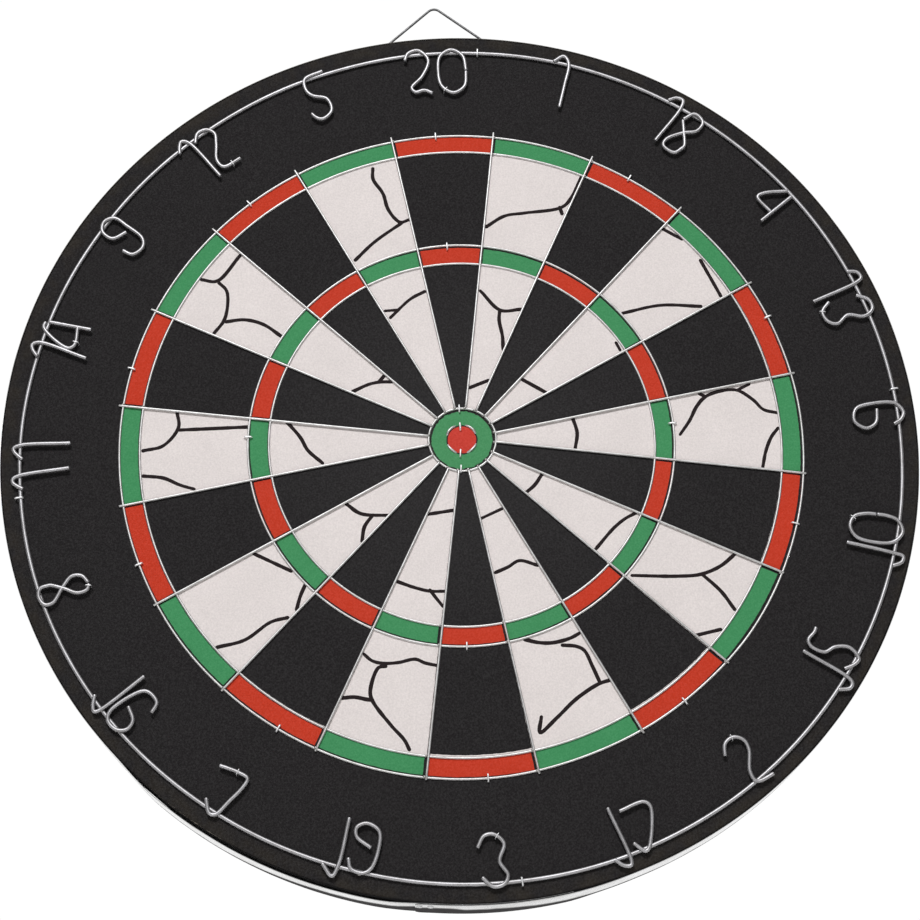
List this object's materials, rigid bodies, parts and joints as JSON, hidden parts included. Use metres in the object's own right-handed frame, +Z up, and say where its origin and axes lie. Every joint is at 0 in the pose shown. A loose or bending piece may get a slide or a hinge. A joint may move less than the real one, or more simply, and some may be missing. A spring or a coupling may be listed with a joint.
{
  "type": "dartboard",
  "caption": "Round wound-paper steel-tip dartboard with a stapled wire spider, a wire number ring, a steel rim band and a swinging wire hanger.",
  "frame": {"origin": "middle of the flat back, on the axis of the bull", "axes": "+Y out of the back towards the wall, so the playing face looks along -Y; +Z up through the 20; +X to the right as a player sees it"},
  "size_m": [0.4578, 0.0289, 0.4847],
  "materials": {
    "core_paper": "matte",
    "face_flock": "matte",
    "back_paper": "matte",
    "band_steel": "polished",
    "tack_steel": "satin",
    "spider_wire": "satin",
    "number_wire": "satin",
    "staple_wire": "satin",
    "hanger_wire": "satin",
    "lug_wire": "satin"
  },
  "bodies": {
    "board": {"paper_coil_core": "core_paper", "flocked_face": "face_flock", "back_paper": "back_paper", "rim_band": "band_steel", "band_tack_left": "tack_steel", "band_tack_right": "tack_steel", "hanger_lug_left": "lug_wire", "hanger_lug_right": "lug_wire", "number_ring": "number_wire", "ring_wire_double_outer": "spider_wire", "ring_wire_double_inner": "spider_wire", "ring_wire_treble_outer": "spider_wire", "ring_wire_treble_inner": "spider_wire", "ring_wire_outer_bull": "spider_wire", "ring_wire_inner_bull": "spider_wire", "radial_wire_20_1": "spider_wire", "radial_wire_1_18": "spider_wire", "radial_wire_18_4": "spider_wire", "radial_wire_4_13": "spider_wire", "radial_wire_13_6": "spider_wire", "radial_wire_6_10": "spider_wire", "radial_wire_10_15": "spider_wire", "radial_wire_15_2": "spider_wire", "radial_wire_2_17": "spider_wire", "radial_wire_17_3": "spider_wire", "radial_wire_3_19": "spider_wire", "radial_wire_19_7": "spider_wire", "radial_wire_7_16": "spider_wire", "radial_wire_16_8": "spider_wire", "radial_wire_8_11": "spider_wire", "radial_wire_11_14": "spider_wire", "radial_wire_14_9": "spider_wire", "radial_wire_9_12": "spider_wire", "radial_wire_12_5": "spider_wire", "radial_wire_5_20": "spider_wire", "staple_double_20": "staple_wire", "staple_double_18": "staple_wire", "staple_double_13": "staple_wire", "staple_double_10": "staple_wire", "staple_double_2": "staple_wire", "staple_double_3": "staple_wire", "staple_double_7": "staple_wire", "staple_double_8": "staple_wire", "staple_double_14": "staple_wire", "staple_double_12": "staple_wire", "staple_treble_20": "staple_wire", "staple_treble_6": "staple_wire", "staple_treble_3": "staple_wire", "staple_treble_11": "staple_wire", "staple_outer_bull_top": "staple_wire", "staple_outer_bull_bottom": "staple_wire", "staple_inner_bull_top": "staple_wire", "staple_inner_bull_bottom": "staple_wire", "staple_number_ring_top": "staple_wire", "staple_number_ring_right": "staple_wire", "staple_number_ring_bottom": "staple_wire", "staple_number_ring_left": "staple_wire"},
    "hanger": {"hanger_bail": "hanger_wire"}
  },
  "joints": [
    {"name": "hanger_swing", "type": "hinge", "parent": "board", "child": "hanger", "pos_m": [0, -0.0125, 0.2302], "axis": [1, 0, 0], "range_deg": [-92, 92]}
  ]
}
